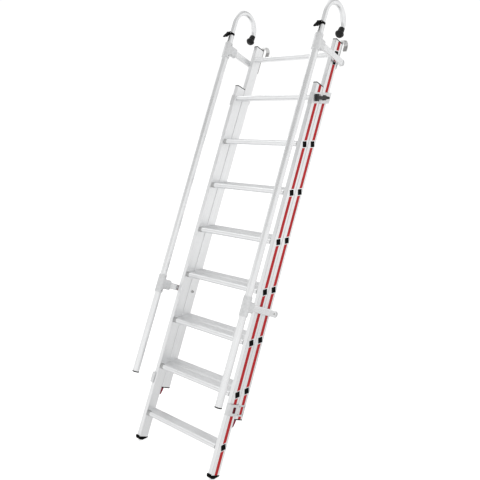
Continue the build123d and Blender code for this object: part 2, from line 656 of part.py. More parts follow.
# tee clamp: sleeve round the handrail with a lug that takes the arm
with BuildPart() as tube_clamps:
    for s, up in zip(ARM_S, SLEEVE_UP):
        with BuildSketch(across(s - SLEEVE_DOWN)):
            with Locations((RAIL_X, RAIL_N)):
                Circle(SLEEVE_R)
        extrude(amount=SLEEVE_DOWN + up)
        with BuildSketch(face(LUG_END)):
            with Locations((ARM_X + 1.5, s)):
                RectangleRounded(28, 56, 11)
        extrude(amount=56)
    chamfer(tube_clamps.faces().filter_by(Axis((0, 0, 0), S_DIR)).edges().filter_by(GeomType.CIRCLE), 1.5)
    fillet(tube_clamps.faces().group_by(Axis((0, 0, 0), N_DIR))[-1].edges(), 2.5)
    for s, up in zip(ARM_S, SLEEVE_UP):
        with BuildSketch(across(s - SLEEVE_DOWN - 8)):
            with Locations((RAIL_X, RAIL_N)):
                Circle(RAIL_OD / 2)
        extrude(amount=SLEEVE_DOWN + up + 16, mode=Mode.SUBTRACT)
        with BuildSketch(face(LUG_END)):
            with Locations((ARM_X, s)):
                RectangleRounded(ARM_W, ARM_H, 5)
        extrude(amount=12, mode=Mode.SUBTRACT)
        with BuildSketch(side(RAIL_X - SLEEVE_R - 2)):
            with Locations((RAIL_N, s + up - 13), (RAIL_N, s - SLEEVE_DOWN + 13)):
                Circle(4)
        extrude(amount=10, mode=Mode.SUBTRACT)
    mirror(about=Plane.YZ)
keep(tube_clamps, "tube_clamps")

with BuildPart() as handrail_tube_right:
    with BuildSketch(across(RAIL_START)):
        with Locations((RAIL_X, RAIL_N)):
            Circle(RAIL_OD / 2)
            Circle(RAIL_OD / 2 - RAIL_WALL, mode=Mode.SUBTRACT)
    extrude(amount=RAIL_END - RAIL_START)
keep(handrail_tube_right, "handrail_tube_right")

with BuildPart() as handrail_tube_left:
    mirror(handrail_tube_right.part, about=Plane.YZ)
keep(handrail_tube_left, "handrail_tube_left")

with BuildPart() as handrail_bottom_caps:
    with BuildSketch(across(RAIL_START)):
        with Locations((RAIL_X, RAIL_N)):
            Circle(RAIL_OD / 2 + 0.5)
    extrude(amount=-7.0)
    fillet(handrail_bottom_caps.faces().sort_by(Axis((0, 0, 0), S_DIR))[0].edges(), 2)
    with BuildSketch(across(RAIL_START)):
        with Locations((RAIL_X, RAIL_N)):
            Circle(RAIL_OD / 2 - RAIL_WALL - 0.1)
    extrude(amount=16)
    mirror(about=Plane.YZ)
keep(handrail_bottom_caps, "handrail_bottom_caps")

# neck bush in the handrail's upper end, in which the hand grip slides
with BuildPart() as tube_necks:
    with BuildSketch(across(NECK_START)):
        with Locations((RAIL_X, RAIL_N)):
            Circle(RAIL_OD / 2 - RAIL_WALL)
            Circle(CANE_OD / 2 + 0.05, mode=Mode.SUBTRACT)
    extrude(amount=NECK_END - NECK_START)
    mirror(about=Plane.YZ)
keep(tube_necks, "tube_necks")

# quick-clamp collar on the neck: split ring with two ears for the lever's pin
with BuildPart() as clamp_collars:
    with BuildSketch(across(NECK_END)):
        with Locations((RAIL_X, RAIL_N)):
            Circle(COLLAR_R)
    extrude(amount=COLLAR_H)
    fillet(clamp_collars.edges().filter_by(GeomType.CIRCLE), 0.8)
    with BuildSketch(side(RAIL_X - 14)):
        with Locations(LEVER_PIN):
            Circle(6)
        with Locations((LEVER_PIN[0] + 11, LEVER_PIN[1])):
            Rectangle(22, 12)
    extrude(amount=28)
    with BuildSketch(side(RAIL_X - 9)):
        with Locations((LEVER_PIN[0] - 2, LEVER_PIN[1])):
            Rectangle(20, 40)
    extrude(amount=18, mode=Mode.SUBTRACT)
    with BuildSketch(side(RAIL_X - 1.5)):
        with Locations((RAIL_N - 20, NECK_END + COLLAR_H / 2)):
            Rectangle(40, 60)
    extrude(amount=3, mode=Mode.SUBTRACT)
    with BuildSketch(across(NECK_END - 1)):
        with Locations((RAIL_X, RAIL_N)):
            Circle(CANE_OD / 2 + 0.5)
    extrude(amount=COLLAR_H + 2, mode=Mode.SUBTRACT)
    with BuildSketch(side(RAIL_X - 16)):
        with Locations(LEVER_PIN):
            Circle(2.5)
    extrude(amount=32, mode=Mode.SUBTRACT)
    mirror(about=Plane.YZ)
keep(clamp_collars, "clamp_collars")

with BuildPart() as lever_pins:
    with BuildSketch(side(RAIL_X - 14.5)):
        with Locations(LEVER_PIN):
            Circle(2.5)
    extrude(amount=29)
    mirror(about=Plane.YZ)
keep(lever_pins, "lever_pins")

def lever_point(a, b):
    """point of the clamp lever: a along it from the pin, b out towards the climber"""
    ca, sa = cos(radians(LEVER_TILT)), sin(radians(LEVER_TILT))
    return LEVER_PIN[0] - a * ca - b * sa, LEVER_PIN[1] - a * sa + b * ca


# clamp lever: hub on the pin, back plate and two cheeks, with a forked tip
with BuildPart() as clamp_lever_right:
    with BuildSketch(side(RAIL_X - 8.5)):
        with Locations(LEVER_PIN):
            Circle(5.5)
        with BuildLine():
            Polyline(*[lever_point(a, b) for a, b in [(0, 5), (16, 5), (16, -2.5), (0, -5)]], close=True)
        make_face()
    extrude(amount=17)
    with BuildSketch(side(RAIL_X - 11)) as plate_outline:
        with BuildLine():
            Polyline(*[lever_point(a, b) for a, b in [(9.5, 4.5), (30, 5.2), (45, 4), (47, 0), (43, -3), (9.5, -2.5)]],
                     close=True)
        make_face()
        fillet(plate_outline.vertices(), 1.6)
    extrude(amount=22)
    for x in (RAIL_X - 11, RAIL_X + 7.5):
        with BuildSketch(side(x)) as cheek_outline:
            with BuildLine():
                Polyline(*[lever_point(a, b) for a, b in [(11, 1), (12, -4.5), (21, -8), (34, -8), (41, -5), (41, 1)]],
                         close=True)
            make_face()
            fillet(cheek_outline.vertices(), 1.5)
        extrude(amount=3.5)
    with BuildSketch(face(-140)):
        with Locations((RAIL_X, lever_point(47, 0)[1])):
            RectangleRounded(8, 15, 3)
    extrude(amount=40, mode=Mode.SUBTRACT)
    with BuildSketch(side(RAIL_X - 10)):
        with Locations(LEVER_PIN):
            Circle(2.55)
    extrude(amount=20, mode=Mode.SUBTRACT)
keep(clamp_lever_right, "clamp_lever_right")

with BuildPart() as clamp_lever_left:
    mirror(clamp_lever_right.part, about=Plane.YZ)
keep(clamp_lever_left, "clamp_lever_left")

# ------------------------------------------------------------------ hand grips
OC, OS = cos(radians(CANE_OVER)), sin(radians(CANE_OVER))
BEND_END = (RAIL_N + CANE_R + CANE_R * OC, CANE_BEND - CANE_R * OS)


def leg_point(r, d):
    """point of the hand grip's free leg: r out from its axis, d along it from the end of the bend"""
    return BEND_END[0] - d * OS + r * OC, BEND_END[1] - d * OC - r * OS


with BuildPart() as cane_right:
    with BuildLine(side(RAIL_X)):
        Line((RAIL_N, CANE_START), (RAIL_N, CANE_BEND))
        CenterArc((RAIL_N + CANE_R, CANE_BEND), CANE_R, 180, -180 - CANE_OVER)
        Line(leg_point(0, 0), leg_point(0, CANE_LEG))
    with BuildSketch(across(CANE_START)):
        with Locations((RAIL_X, RAIL_N)):
            Circle(CANE_OD / 2)
            Circle(CANE_OD / 2 - CANE_WALL, mode=Mode.SUBTRACT)
    sweep()
keep(cane_right, "cane_right")

with BuildPart() as cane_left:
    add(mirror(cane_right.part, about=Plane.YZ, mode=Mode.PRIVATE).moved(Location(S_DIR * CANE_LEFT_OUT)))
keep(cane_left, "cane_left")

# rubber knob on the free end, and the glide plug on the end inside the handrail
with BuildPart() as cane_ends_right:
    with BuildSketch(side(RAIL_X)):
        d, r = CANE_LEG, CANE_OD / 2
        with BuildLine():
            Polyline(leg_point(0, d), leg_point(r, d), leg_point(r, d - 16), leg_point(16.8, d - 16),
                     leg_point(16.8, d - 3))
            Spline(leg_point(16.8, d - 3), leg_point(24.4, d + 9), leg_point(17.2, d + 22), leg_point(0, d + 25.5),
                   tangents=[(0.8 * OC - 0.6 * OS, -0.8 * OS - 0.6 * OC), (-OC, OS)])
            Line(leg_point(0, d + 25.5), leg_point(0, d))
        make_face()
    revolve(axis=Axis(at(RAIL_X, *leg_point(0, 0)), N_DIR * -OS + S_DIR * -OC))
    with BuildSketch(across(CANE_START)):
        with Locations((RAIL_X, RAIL_N)):
            Circle(RAIL_OD / 2 - RAIL_WALL - 0.3)
    extrude(amount=-14)
    with BuildSketch(across(CANE_START)):
        with Locations((RAIL_X, RAIL_N)):
            Circle(CANE_OD / 2 - CANE_WALL - 0.1)
    extrude(amount=20)
keep(cane_ends_right, "cane_ends_right")

with BuildPart() as cane_ends_left:
    add(mirror(cane_ends_right.part, about=Plane.YZ, mode=Mode.PRIVATE).moved(Location(S_DIR * CANE_LEFT_OUT)))
keep(cane_ends_left, "cane_ends_left")
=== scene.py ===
import json
import math

import bpy
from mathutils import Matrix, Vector


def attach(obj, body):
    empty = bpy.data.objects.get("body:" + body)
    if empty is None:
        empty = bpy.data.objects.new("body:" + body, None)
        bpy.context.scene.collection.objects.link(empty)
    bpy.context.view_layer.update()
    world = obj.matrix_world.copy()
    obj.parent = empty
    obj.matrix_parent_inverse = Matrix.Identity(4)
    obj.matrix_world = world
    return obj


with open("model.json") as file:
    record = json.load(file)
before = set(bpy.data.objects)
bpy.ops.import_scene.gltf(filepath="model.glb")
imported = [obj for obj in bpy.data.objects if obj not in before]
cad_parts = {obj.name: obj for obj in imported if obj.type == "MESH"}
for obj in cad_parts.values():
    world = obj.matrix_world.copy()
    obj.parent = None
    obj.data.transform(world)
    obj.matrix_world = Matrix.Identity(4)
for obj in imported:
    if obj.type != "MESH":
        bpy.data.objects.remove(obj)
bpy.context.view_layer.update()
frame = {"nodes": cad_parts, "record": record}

nodes = frame["nodes"]
scene = bpy.context.scene

# ------------------------------------------------------------------ stile frame
LEAN = math.radians(67.4)
TILT = math.pi / 2 - LEAN          # turns (y, z) into (n, s): n square to the stiles, s along them
CT, ST = math.cos(LEAN), math.sin(LEAN)
REF_Y, REF_Z = -540.873, 28.3013   # mm
S_DIR, N_DIR = Vector((0, CT, ST)), Vector((0, ST, -CT))
HALF, INNER = 300.0, 274.0


def at(x, n, s):
    """point of the stile frame, given in mm, in metres"""
    return Vector((x, REF_Y + s * CT + n * ST, REF_Z + s * ST - n * CT)) / 1000


def level(x, y, z):
    """point of the level frame that starts at the front foot corner, given in mm, in metres"""
    return Vector((x, REF_Y + y, REF_Z + z)) / 1000


# ------------------------------------------------------------------ node helpers
class Nodes:
    """short names for the nodes of one tree"""

    def __init__(self, tree):
        self.t = tree
        self._coords = {}

    def node(self, kind, **props):
        n = self.t.nodes.new(kind)
        for k, v in props.items():
            setattr(n, k, v)
        return n

    def link(self, a, b):
        self.t.links.new(a, b)

    def put(self, socket, value):
        """value is a number, a colour or another node's output"""
        if isinstance(value, bpy.types.NodeSocket):
            self.link(value, socket)
        elif isinstance(value, (tuple, list)) and len(value) == 3 and len(socket.default_value) == 4:
            socket.default_value = (*value, 1.0)
        else:
            socket.default_value = value

    def coords(self, scale=(1, 1, 1), lean=True, spin=0.0):
        key = (tuple(scale), lean, spin)
        if key not in self._coords:
            tc = self.node("ShaderNodeTexCoord")
            mp = self.node("ShaderNodeMapping")
            turn = self.node("ShaderNodeMapping")
            turn.inputs["Rotation"].default_value = ((TILT if lean else 0.0) + spin, spin * 0.6, spin * 1.3)
            mp.inputs["Scale"].default_value = scale
            self.link(tc.outputs["Object"], turn.inputs["Vector"])
            self.link(turn.outputs["Vector"], mp.inputs["Vector"])
            self._coords[key] = mp.outputs["Vector"]
        return self._coords[key]

    def noise(self, scale, detail=3.0, rough=0.5, stretch=(1, 1, 1), distort=0.0, lean=True, spin=0.0):
        n = self.node("ShaderNodeTexNoise")
        self.link(self.coords(stretch, lean, spin), n.inputs["Vector"])
        n.inputs["Scale"].default_value = scale
        n.inputs["Detail"].default_value = detail
        n.inputs["Roughness"].default_value = rough
        n.inputs["Distortion"].default_value = distort
        return n.outputs["Fac"]

    def voronoi(self, scale, stretch=(1, 1, 1), feature="F1", output="Distance", lean=True):
        n = self.node("ShaderNodeTexVoronoi", feature=feature)
        self.link(self.coords(stretch, lean), n.inputs["Vector"])
        n.inputs["Scale"].default_value = scale
        return n.outputs[output]

    def remap(self, value, a, b, c, d, smooth=False):
        n = self.node("ShaderNodeMapRange")
        if smooth:
            n.interpolation_type = "SMOOTHSTEP"
        self.link(value, n.inputs["Value"])
        for k, v in zip(("From Min", "From Max", "To Min", "To Max"), (a, b, c, d)):
            n.inputs[k].default_value = v
        return n.outputs["Result"]

    def math(self, op, a, b=None, clamp=False):
        n = self.node("ShaderNodeMath", operation=op, use_clamp=clamp)
        self.put(n.inputs[0], a)
        if b is not None:
            self.put(n.inputs[1], b)
        return n.outputs[0]

    def mix(self, fac, a, b, mode="MIX"):
        n = self.node("ShaderNodeMix", data_type="RGBA", blend_type=mode)
        self.put(n.inputs[0], fac)
        self.put(n.inputs[6], a)
        self.put(n.inputs[7], b)
        return n.outputs[2]

    def dot(self, vector, axis):
        n = self.node("ShaderNodeVectorMath", operation="DOT_PRODUCT")
        self.link(vector, n.inputs[0])
        n.inputs[1].default_value = axis
        return n.outputs["Value"]

    def curve(self, value, points):
        """value through a smooth ramp of (position, grey level) points"""
        n = self.node("ShaderNodeValToRGB")
        n.color_ramp.interpolation = "EASE"
        stops = n.color_ramp.elements
        while len(stops) < len(points):
            stops.new(0.5)
        for e, (p, v) in zip(stops, points):
            e.position = p
            e.color = (v, v, v, 1.0)
        self.link(value, n.inputs["Fac"])
        return n.outputs["Color"]


class Mat(Nodes):
    """a material with a Principled shader"""

    def __init__(self, name, **sockets):
        self.m = bpy.data.materials.new(name)
        self.m.use_nodes = True
        super().__init__(self.m.node_tree)
        self.b = self.t.nodes["Principled BSDF"]
        for k, v in sockets.items():
            self.b.inputs[k.replace("_", " ")].default_value = v

    def edge(self, radius=0.0015, sharp=0.12):
        """1 along edges, 0 on open faces"""
        bev = self.node("ShaderNodeBevel", samples=4)
        bev.inputs["Radius"].default_value = radius
        geo = self.node("ShaderNodeNewGeometry")
        dot = self.node("ShaderNodeVectorMath", operation="DOT_PRODUCT")
        self.link(bev.outputs["Normal"], dot.inputs[0])
        self.link(geo.outputs["Normal"], dot.inputs[1])
        return self.remap(dot.outputs["Value"], 1.0 - sharp, 0.995, 1.0, 0.0)

    def hollow(self, distance):
        """1 deep in grooves and corners of the piece itself, 0 in the open"""
        n = self.node("ShaderNodeAmbientOcclusion", samples=4, only_local=True)
        n.inputs["Distance"].default_value = distance
        return self.remap(n.outputs["AO"], 0.25, 0.85, 1.0, 0.0)

    def facing(self, axis, low, high):
        """1 where the surface's own normal points along the axis by more than high, 0 under low"""
        geo = self.node("ShaderNodeNewGeometry")
        return self.remap(self.dot(geo.outputs["Normal"], axis), low, high, 0.0, 1.0)

    def scratches(self, scale, amount, spins=(0.5, 1.7, 2.6)):
        """sparse hairline scratches in a few directions"""
        total = None
        for spin in spins:
            line = self.noise(scale, 1.0, 0.4, (1.0, 30.0, 0.9), spin=spin)
            patch = self.noise(scale * 0.9, 2.0, 0.5, spin=spin + 0.4)
            thin = self.math("MULTIPLY", self.remap(line, 0.66, 0.70, 0.0, 1.0), self.remap(patch, 0.50, 0.62, 0.0, amount))
            total = thin if total is None else self.math("MAXIMUM", total, thin)
        return total

    def colour(self, value):
        self.put(self.b.inputs["Base Color"], value)
        return self

    def rough(self, value):
        self.put(self.b.inputs["Roughness"], value)
        return self

    def bump(self, height, strength=0.2, distance=0.001):
        n = self.node("ShaderNodeBump")
        n.inputs["Strength"].default_value = strength
        n.inputs["Distance"].default_value = distance
        self.link(height, n.inputs["Height"])
        if self.b.inputs["Normal"].is_linked:
            self.link(self.b.inputs["Normal"].links[0].from_socket, n.inputs["Normal"])
        self.link(n.outputs["Normal"], self.b.inputs["Normal"])
        return self


# ------------------------------------------------------------------ materials
def extruded(name, light, dark, along, rough=(0.30, 0.42), lean=True, shade=None, edge=0.0012):
    """mill-finished aluminium extrusion with die lines along one axis, rubbed edges and hairline scratches"""
    m = Mat(name, Metallic=1.0)
    fine = [1100.0, 1100.0, 1100.0]
    wide = [160.0, 160.0, 160.0]
    fine[along], wide[along] = 5.0, 1.6
    lines = m.noise(1.0, 2.0, 0.55, fine, lean=lean)
    bands = m.noise(1.0, 2.0, 0.5, wide, lean=lean)
    cloud = m.noise(7.0, 4.0, 0.6, lean=lean)
    scuff = m.remap(m.noise(1.0, 3.0, 0.7, [s * 0.35 for s in fine], distort=0.4, lean=lean), 0.62, 0.74, 0.0, 1.0)
    hair = m.scratches(26.0, 0.8)
    tone = m.math("ADD", m.math("MULTIPLY", bands, 0.55), m.math("MULTIPLY", cloud, 0.45))
    base = m.mix(m.remap(tone, 0.36, 0.64, 0.0, 1.0), dark, light)
    base = m.mix(m.math("MULTIPLY", scuff, 0.20), base, (0.93, 0.935, 0.94))
    base = m.mix(m.math("MULTIPLY", hair, 0.30), base, (0.62, 0.625, 0.63))
    base = m.mix(m.math("MULTIPLY", m.edge(edge), m.remap(cloud, 0.4, 0.6, 0.10, 0.45)), base, (0.94, 0.94, 0.94))
    if shade:
        base = shade(m, base)
    m.colour(base)
    r = m.math("ADD", m.math("MULTIPLY", lines, 0.5), m.math("MULTIPLY", cloud, 0.5))
    m.rough(m.remap(r, 0.35, 0.65, *rough))
    m.bump(lines, 0.10, 0.0004)
    m.bump(bands, 0.06, 0.0008)
    return m.m


def ribbed_top_dust_and_shade(m, base):
    """the walked-on top is duller, with rubbed patches; the grooves of the upward faces are darkened, partly as dust
    and partly as painted shade
    """
    up = m.facing((0.0, 0.0, 1.0), 0.80, 0.97)
    rub = m.remap(m.noise(14.0, 5.0, 0.65, (0.5, 1, 1), lean=False), 0.40, 0.66, 0.0, 1.0)
    top = m.mix(rub, (0.86, 0.865, 0.87), (0.94, 0.945, 0.95))
    # painted shade, partly dust: the grooves of the upward faces are darkened by the piece's own occlusion
    top = m.mix(m.math("MULTIPLY", m.hollow(0.003), 0.45), top, (0.60, 0.595, 0.59))
    return m.mix(up, base, top)


def corner_painted_shade(m, base):
    """painted shade: the rounded front outer corner lines along the stiles are darkened to a little grey in streaks,
    where the surface faces front and outward
    """
    near = None
    place = m.node("ShaderNodeNewGeometry").outputs["Position"]
    for x in (-1.0, 1.0):
        side = m.facing((0.707 * x, -0.707 * ST, 0.707 * CT), 0.90, 0.985)
        side = m.math("MULTIPLY", side, m.math("GREATER_THAN", m.dot(place, (x, 0.0, 0.0)), 0.287))
        near = side if near is None else m.math("MAXIMUM", near, side)
    streak = m.remap(m.noise(1.0, 4.0, 0.6, (40, 40, 9)), 0.30, 0.60, 0.35, 1.0)
    return m.mix(m.math("MULTIPLY", near, streak), base, (0.60, 0.605, 0.61))


# the stiles carry painted shade along their front outer corners
STILE = extruded("stile_aluminium_satin", (0.90, 0.905, 0.91), (0.84, 0.845, 0.85), 2, shade=corner_painted_shade)
# the treads carry painted shade, partly dust, in the grooves of their tops
TREAD = extruded("tread_aluminium_ribbed", (0.92, 0.925, 0.93), (0.86, 0.865, 0.87), 0, (0.34, 0.46), lean=False,
                 shade=ribbed_top_dust_and_shade, edge=0.0006)
TUBE = extruded("tube_aluminium_satin", (0.89, 0.895, 0.90), (0.82, 0.825, 0.83), 2, (0.24, 0.33))


def sheet():
    m = Mat("sheet_aluminium_brushed", Metallic=1.0)
    lines = m.noise(1.0, 2.0, 0.6, (60, 1300, 60))
    cloud = m.noise(30.0, 4.0, 0.6)
    edge = m.edge(0.0010)
    base = m.mix(m.remap(cloud, 0.35, 0.65, 0, 1), (0.70, 0.705, 0.71), (0.79, 0.795, 0.80))
    base = m.mix(m.math("MULTIPLY", m.scratches(60.0, 0.8), 0.35), base, (0.55, 0.555, 0.56))
    m.colour(m.mix(m.math("MULTIPLY", edge, 0.7), base, (0.90, 0.90, 0.90)))
    m.rough(m.remap(lines, 0.3, 0.7, 0.30, 0.46))
    m.bump(lines, 0.12, 0.0004)
    return m.m


def cast():
    m = Mat("cast_aluminium_sand", Metallic=1.0)
    grain = m.noise(900.0, 4.0, 0.65)
    lump = m.noise(90.0, 3.0, 0.5)
    edge = m.edge(0.0022)
    base = m.mix(m.remap(lump, 0.35, 0.65, 0, 1), (0.72, 0.725, 0.73), (0.80, 0.805, 0.81))
    m.colour(m.mix(m.math("MULTIPLY", edge, 0.5), base, (0.88, 0.885, 0.89)))
    m.rough(m.remap(grain, 0.3, 0.7, 0.46, 0.60))
    m.bump(lump, 0.15, 0.0012)
    m.bump(grain, 0.25, 0.0005)
    return m.m


def steel(name, dark, light, grain_scale, rough, worn=(0.82, 0.82, 0.81), shade_face_colour=None):
    m = Mat(name, Metallic=1.0)
    spangle = m.voronoi(grain_scale, output="Color")
    cloud = m.noise(45.0, 4.0, 0.6)
    edge = m.edge(0.0009)
    tone = m.math("ADD", m.math("MULTIPLY", spangle, 0.35), m.math("MULTIPLY", cloud, 0.65))
    base = m.mix(m.remap(tone, 0.3, 0.7, 0, 1), dark, light)
    if shade_face_colour:
        # painted shade: the faces that look towards the front, such as the inside of the hook's outer leg, are
        # darkened in patches
        painted_shade_face = m.math("MULTIPLY", m.facing((0.0, -ST, CT), 0.93, 0.99), m.remap(cloud, 0.25, 0.55, 0.75, 1.0))
        base = m.mix(painted_shade_face, base, shade_face_colour)
    m.colour(m.mix(m.math("MULTIPLY", edge, 0.6), base, worn))
    m.rough(m.remap(cloud, 0.3, 0.7, *rough))
    m.bump(cloud, 0.08, 0.0006)
    return m.m


def stripe():
    m = Mat("red_stripe_film", IOR=1.45, Specular_IOR_Level=0.13)
    cloud = m.noise(22.0, 4.0, 0.6)
    lines = m.noise(1.0, 2.0, 0.6, (1000, 1000, 8))
    base = m.mix(m.remap(cloud, 0.35, 0.65, 0, 1), (0.45, 0.017, 0.021), (0.53, 0.023, 0.027))
    edge = m.edge(0.0007)
    base = m.mix(m.math("MULTIPLY", m.scratches(40.0, 0.7), 0.35), base, (0.56, 0.11, 0.11))
    m.colour(m.mix(m.math("MULTIPLY", edge, 0.30), base, (0.56, 0.09, 0.09)))
    m.rough(m.remap(lines, 0.3, 0.7, 0.34, 0.48))
    m.bump(lines, 0.08, 0.0002)
    return m.m


def moulded(name, dark, light, worn, rough, grain=1400.0, edge_r=0.0011, bump=0.22, gloss=0.5, rub=(0.25, 0.85)):
    m = Mat(name, IOR=1.47, Specular_IOR_Level=gloss)
    fine = m.noise(grain, 3.0, 0.6)
    cloud = m.noise(28.0, 4.0, 0.6)
    edge = m.edge(edge_r)
    worn_to = m.math("MULTIPLY", edge, m.remap(cloud, 0.35, 0.6, *rub))
    m.colour(m.mix(worn_to, m.mix(m.remap(cloud, 0.35, 0.65, 0, 1), dark, light), worn))
    m.rough(m.remap(fine, 0.3, 0.7, *rough))
    m.bump(fine, bump, 0.0004)
    return m.m


SHEET = sheet()
CAST = cast()
# the hook's front-facing faces carry painted shade
HOOK = steel("hook_steel_zinc", (0.62, 0.62, 0.615), (0.74, 0.74, 0.735), 260.0, (0.38, 0.52), (0.82, 0.82, 0.815),
             shade_face_colour=(0.37, 0.365, 0.36))
FASTENER = steel("fastener_steel_zinc", (0.46, 0.46, 0.455), (0.60, 0.60, 0.595), 700.0, (0.30, 0.42))
STRIPE = stripe()
RED = moulded("red_plastic_moulded", (0.135, 0.010, 0.022), (0.18, 0.014, 0.028), (0.28, 0.06, 0.07), (0.42, 0.56), gloss=0.3)
TONGUE = moulded("red_plastic_tongue", (0.23, 0.014, 0.040), (0.28, 0.018, 0.050), (0.36, 0.07, 0.10), (0.42, 0.56), gloss=0.25)
BLACK = moulded("black_plastic_moulded", (0.0012, 0.0012, 0.0013), (0.0024, 0.0024, 0.0026), (0.012, 0.012, 0.0125),
                (0.46, 0.62), gloss=0.05)
DARK = moulded("dark_plastic_moulded", (0.020, 0.020, 0.021), (0.030, 0.030, 0.031), (0.075, 0.075, 0.077), (0.44, 0.58), gloss=0.35)
GREY = moulded("grey_plastic_moulded", (0.022, 0.0225, 0.023), (0.034, 0.0345, 0.035), (0.085, 0.086, 0.088), (0.48, 0.62), gloss=0.3)
# mid grey for the tread corner caps, partly painted shade at the ends of the noses
CORNER_SHADE_GREY = moulded("corner_plastic_painted_shade", (0.43, 0.432, 0.435), (0.50, 0.502, 0.505), (0.58, 0.582, 0.585), (0.46, 0.60), gloss=0.35)
KNOB = moulded("knob_rubber", (0.005, 0.005, 0.0051), (0.008, 0.008, 0.0081), (0.022, 0.0217, 0.0215), (0.28, 0.40), 900.0, 0.002, 0.30,
               gloss=0.30)
LIGHT = moulded("light_plastic_moulded", (0.58, 0.585, 0.59), (0.66, 0.665, 0.67), (0.78, 0.785, 0.79), (0.42, 0.56))
RUBBER = moulded("black_rubber", (0.0014, 0.0014, 0.0014), (0.0028, 0.0028, 0.0028), (0.012, 0.0117, 0.0115), (0.64, 0.82), 700.0,
                 0.002, 0.35, gloss=0.06)

BY_SLOT = {
    "stile_aluminium": STILE, "tread_aluminium": TREAD, "tube_aluminium": TUBE, "cast_aluminium": CAST,
    "sheet_aluminium": SHEET, "hook_steel": HOOK, "fastener_steel": FASTENER, "red_stripe": STRIPE,
    "red_plastic": RED, "black_plastic": BLACK, "grey_plastic": GREY, "light_plastic": LIGHT, "black_rubber": RUBBER,
}
BY_NODE = {"lock_block": DARK, "lock_lever": DARK, "arm_glide_pads": LIGHT, "glide_tongues": TONGUE, "cane_ends_left": KNOB,
           "cane_ends_right": KNOB}
slot_of = {part["node"]: part["material_slot"] for part in frame["record"]["subparts"]}
for name, ob in nodes.items():
    m = BY_NODE.get(name, BY_SLOT[slot_of[name]])
    if not ob.data.materials:
        ob.data.materials.append(m)
    for i in range(len(ob.material_slots)):
        ob.material_slots[i].link = "DATA"
        ob.material_slots[i].material = m


# ------------------------------------------------------------------ small pieces
class Shape:
    """vertices and faces of one piece, put together from strips"""

    def __init__(self):
        self.v, self.f = [], []

    def ring(self, points):
        start = len(self.v)
        self.v += [tuple(p) for p in points]
        return list(range(start, start + len(points)))

    def tube(self, rings, closed=True):
        """quads between neighbouring rings of equal length"""
        n = len(rings[0])
        for a, b in zip(rings[:-1], rings[1:]):
            for i in range(n if closed else n - 1):
                j = (i + 1) % n
                self.f.append((a[i], a[j], b[j], b[i]))

    def cap(self, ring, flip=False):
        self.f.append(tuple(reversed(ring)) if flip else tuple(ring))

    def ridge(self, p, q, out, width, height):
        """a rounded bar from p to q on a face whose outward direction is out; width and height in mm"""
        along = (q - p).normalized()
        over = along.cross(out).normalized()
        w, h = width / 2000, height / 1000
        length = (q - p).length
        arc = [math.pi * k / 6 for k in range(7)]
        rings = []
        for d, k in ((0.0, 0.35), (0.35, 0.8), (1.0, 1.0), (length / w - 1.0, 1.0), (length / w - 0.35, 0.8), (length / w, 0.35)):
            c = p + along * (d * w)
            prof = [c + over * (w * k * math.cos(a)) + out * (h * k * math.sin(a)) for a in arc]
            prof += [c - over * (w * k) - out * 0.0003, c + over * (w * k) - out * 0.0003]
            rings.append(self.ring(prof))
        self.tube(rings)
        self.cap(rings[0], True)
        self.cap(rings[-1])

    def make(self, name, material, body):
        mesh = bpy.data.meshes.new(name)
        mesh.from_pydata(self.v, [], self.f)
        mesh.update()
        ob = bpy.data.objects.new(name, mesh)
        scene.collection.objects.link(ob)
        bpy.context.view_layer.objects.active = ob
        ob.select_set(True)
        bpy.ops.object.mode_set(mode="EDIT")
        bpy.ops.mesh.select_all(action="SELECT")
        bpy.ops.mesh.normals_make_consistent(inside=False)
        bpy.ops.object.mode_set(mode="OBJECT")
        bpy.ops.object.shade_smooth_by_angle(angle=math.radians(40))
        ob.select_set(False)
        mesh.materials.append(material)
        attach(ob, body)
        return ob


def corner_caps(name, n0, treads, body):
    """moulded caps over the two ends of each tread's rounded nose, longer below than above and shorter at the right
    end; their mid grey is partly painted shade, laid longest over the noses' left ends where shade falls
    """
    shape = Shape()
    for s in treads:
        zc = s * ST - (n0 + 35.0) * CT
        zn = zc + 0.5
        yn = (n0 + 17.5 + zn * CT) / ST
        path = [(yn + d, zn + 13.5, 0.0, 1.0) for d in (9.0, 6.0, 3.0)]
        for k in range(25):
            a = math.radians(90 + 7.5 * k)
            path.append((yn + 13.5 * math.cos(a), zn + 13.5 * math.sin(a), math.cos(a), math.sin(a)))
        path += [(yn + d, zn - 13.5, 0.0, -1.0) for d in (5.0, 10.0, 15.0)]
        count = len(path)
        for side in (-1, 1):
            rings = []
            for i, (y, z, ny, nz) in enumerate(path):
                t = i / (count - 1)
                long = (21.0 if side < 0 else 7.0) + 6.0 * t * t
                lift = 0.9 * min(1.0, i / 2.0 + 0.25, (count - 1 - i) / 2.0 + 0.25)
                prof = [(0.15, lift), (long - 1.4, lift), (long - 0.5, lift * 0.72), (long, 0.12), (long - 0.3, 0.02), (0.15, 0.02)]
                rings.append(shape.ring([level(side * (INNER - d), y + ny * h, z + nz * h) for d, h in prof]))
            shape.tube(rings)
            shape.cap(rings[0], True)
            shape.cap(rings[-1])
    return shape.make(name, CORNER_SHADE_GREY, body)


# the longer caps at the noses' left ends are partly painted shade
corner_caps("lower_tread_corner_caps", 0.0, [141.0 + 270.0 * k for k in range(7)], "lower_section")

# grip ribs on both sides of the rubber feet
ribs = Shape()
for side in (-1, 1):
    for x, out in ((301.0, 1), (273.0, -1)):
        for s, n0, n1 in ((-3.4, -2.6, 57.0), (-7.6, -0.6, 50.0), (-11.8, 3.0, 41.0)):
            ribs.ridge(at(side * x, n0, s), at(side * x, n1, s), Vector((side * out, 0, 0)), 2.0, 0.9)
ribs.make("foot_side_ribs", RUBBER, "lower_section")

